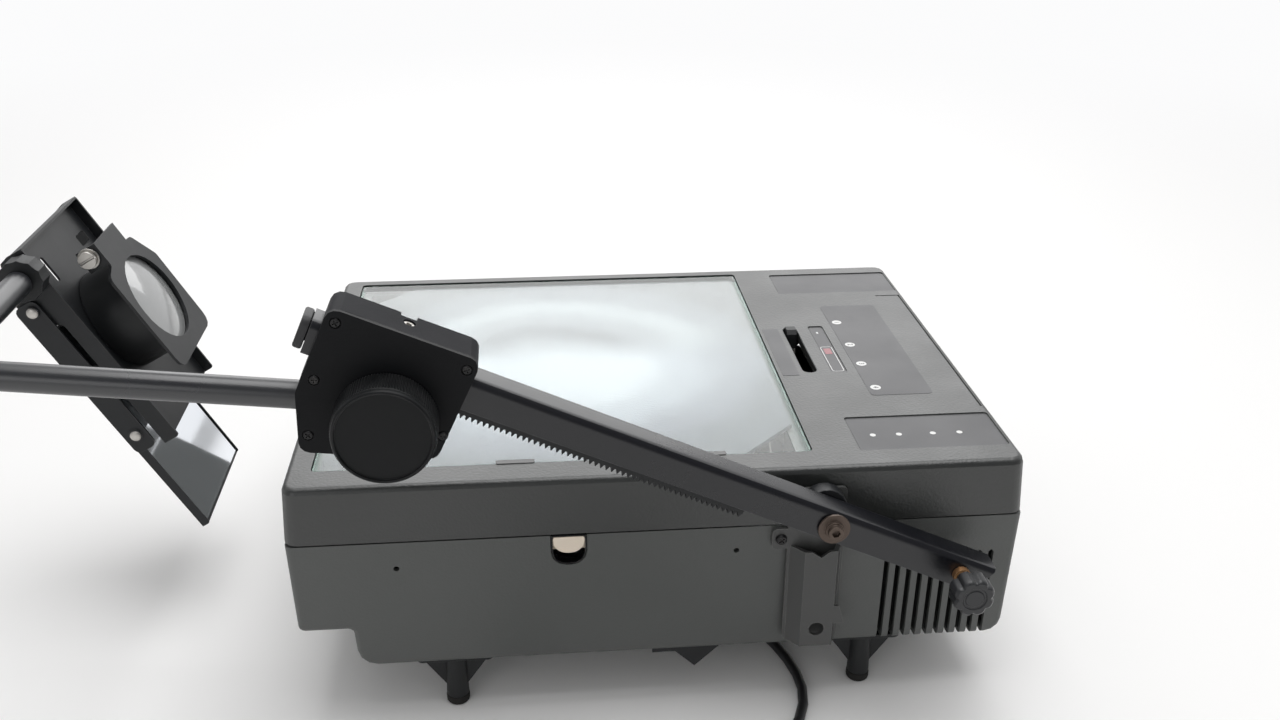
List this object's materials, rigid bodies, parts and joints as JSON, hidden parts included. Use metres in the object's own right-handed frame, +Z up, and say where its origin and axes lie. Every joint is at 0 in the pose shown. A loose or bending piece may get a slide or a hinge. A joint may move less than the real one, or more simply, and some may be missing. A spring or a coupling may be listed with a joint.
{
  "type": "overhead projector",
  "caption": "Overhead projector: box base with a glass stage in a hinged cover, folding rack mast, focusing carriage, bent arm tube and tilting lens head with a swinging mirror.",
  "frame": {"origin": "middle of the flat bottom of the front left foot pad", "axes": "+X runs along the front towards the lamp side, +Y towards the cover hinges at the back, +Z up"},
  "size_m": [0.5877, 0.6556, 0.2778],
  "materials": {
    "housing_grey": "fine textured dark grey moulding",
    "black_plastic": "satin black moulding",
    "black_metal": "satin black paint",
    "case_grey": "dark grey powder coat",
    "grey_plastic": "light grey plastic",
    "gloss_black": "gloss black",
    "beige_plastic": "cream plastic",
    "rubber_black": "matt rubber",
    "cord_black": "satin flexible jacket",
    "steel_zinc": "zinc plated steel",
    "steel_brown": "oiled brown steel",
    "brass_plain": "tarnished brass",
    "clear_glass": "clear glass",
    "fresnel_acrylic": "clear acrylic with fine rings",
    "mirror_glass": "silvered glass",
    "lamp_glass": "coated glass reflector"
  },
  "bodies": {
    "base": {"lower_housing": "housing_grey", "underside_plate": "black_metal", "leg_front_left": "black_plastic", "leg_front_right": "black_plastic", "leg_back_left": "black_plastic", "leg_back_right": "black_plastic", "pad_front_left": "rubber_black", "pad_front_right": "rubber_black", "pad_back_left": "rubber_black", "pad_back_right": "rubber_black", "latch_rim": "gloss_black", "hinge_base_left": "steel_zinc", "hinge_base_right": "steel_zinc", "lamp_rail": "steel_zinc", "heat_divider": "steel_zinc", "folding_mirror": "mirror_glass", "mirror_rail_front": "steel_zinc", "mirror_rail_back": "steel_zinc", "fan_frame": "black_plastic", "mast_bracket": "black_metal", "spacer_disc": "black_plastic", "pivot_bolt": "steel_brown", "strain_relief": "rubber_black", "supply_cord": "cord_black", "cord_coil": "cord_black", "cord_plug": "black_plastic"},
    "cover": {"stage_cover": "housing_grey", "stage_glass": "clear_glass", "fresnel_lens": "fresnel_acrylic", "hinge_cover_left": "steel_zinc", "hinge_cover_right": "steel_zinc"},
    "latch": {"latch_button": "beige_plastic"},
    "lamp_changer": {"lamp_carrier": "steel_zinc", "changer_lever": "black_plastic", "lamp_1": "lamp_glass", "lamp_2": "lamp_glass"},
    "fan": {"fan_rotor": "black_plastic"},
    "mast": {"mast_channel": "black_metal", "mast_rack": "black_plastic", "mast_end_cap": "grey_plastic", "lock_bush": "brass_plain"},
    "lock_pin": {"lock_stud": "steel_zinc"},
    "lock_grip": {"lock_knob": "black_plastic"},
    "carriage": {"carriage_case": "case_grey", "carriage_plate": "black_metal", "drag_screw": "steel_zinc", "arm_tube": "black_metal"},
    "focus": {"focus_knob": "black_plastic", "focus_pinion": "grey_plastic"},
    "head": {"head_frame": "black_metal", "lens_barrel": "black_plastic", "lens_plate": "black_metal", "objective_lens": "clear_glass", "tab_washer": "steel_zinc", "tab_screw": "steel_zinc"},
    "clamp": {"clamp_nut": "black_plastic"},
    "mirror_arms": {"mirror_arm_near": "black_metal", "mirror_arm_far": "black_metal"},
    "mirror": {"mirror_tray": "black_metal", "head_mirror": "mirror_glass"}
  },
  "joints": [
    {"name": "cover_hinge", "type": "hinge", "parent": "base", "child": "cover", "pos_m": [0.122, 0.3092, 0.1236], "axis": [-1, 0, 0], "range_deg": [0, 75]},
    {"name": "latch_press", "type": "slide", "parent": "base", "child": "latch", "axis": [0, 1, 0], "range_m": [0, 0.0025], "stiffness_N_per_m": 400},
    {"name": "changer_slide", "type": "slide", "parent": "base", "child": "lamp_changer", "axis": [0, -1, 0], "range_m": [0, 0.058]},
    {"name": "fan_spin", "type": "hinge", "parent": "base", "child": "fan", "pos_m": [0.2865, 0.278, 0.0794], "axis": [0, 1, 0], "continuous": true},
    {"name": "mast_fold", "type": "hinge", "parent": "base", "child": "mast", "pos_m": [0.2125, -0.035, 0.139], "axis": [0, 1, 0], "range_deg": [-25, 65]},
    {"name": "lock_pull", "type": "slide", "parent": "mast", "child": "lock_pin", "axis": [0, 1, 0], "range_m": [0, 0.0075]},
    {"name": "lock_turn", "type": "hinge", "parent": "lock_pin", "child": "lock_grip", "pos_m": [0.28757, -0.062, 0.10479], "axis": [0, 1, 0], "continuous": true},
    {"name": "carriage_slide", "type": "slide", "parent": "mast", "child": "carriage", "axis": [-0.91, 0, 0.4147], "range_m": [-0.062, 0]},
    {"name": "focus_turn", "type": "hinge", "parent": "carriage", "child": "focus", "pos_m": [-0.02226, -0.057, 0.21851], "axis": [0, 1, 0], "range_deg": [-300, 5]},
    {"name": "head_tilt", "type": "hinge", "parent": "carriage", "child": "head", "pos_m": [-0.239, 0.1, 0.2465], "axis": [0, -1, 0], "range_deg": [-55, 12]},
    {"name": "clamp_turn", "type": "hinge", "parent": "carriage", "child": "clamp", "pos_m": [-0.239, 0.092, 0.2465], "axis": [0, 1, 0], "continuous": true},
    {"name": "mirror_swing", "type": "hinge", "parent": "head", "child": "mirror_arms", "pos_m": [-0.24042, 0.151, 0.22269], "axis": [0, 1, 0], "range_deg": [0, 66]},
    {"name": "mirror_tilt", "type": "hinge", "parent": "mirror_arms", "child": "mirror", "pos_m": [-0.19456, 0.151, 0.13891], "axis": [0, -1, 0], "range_deg": [0, 40]}
  ],
  "couplings": [
    {"joint": "focus_turn", "follows": "carriage_slide", "rad_per_m": 83.333}
  ]
}
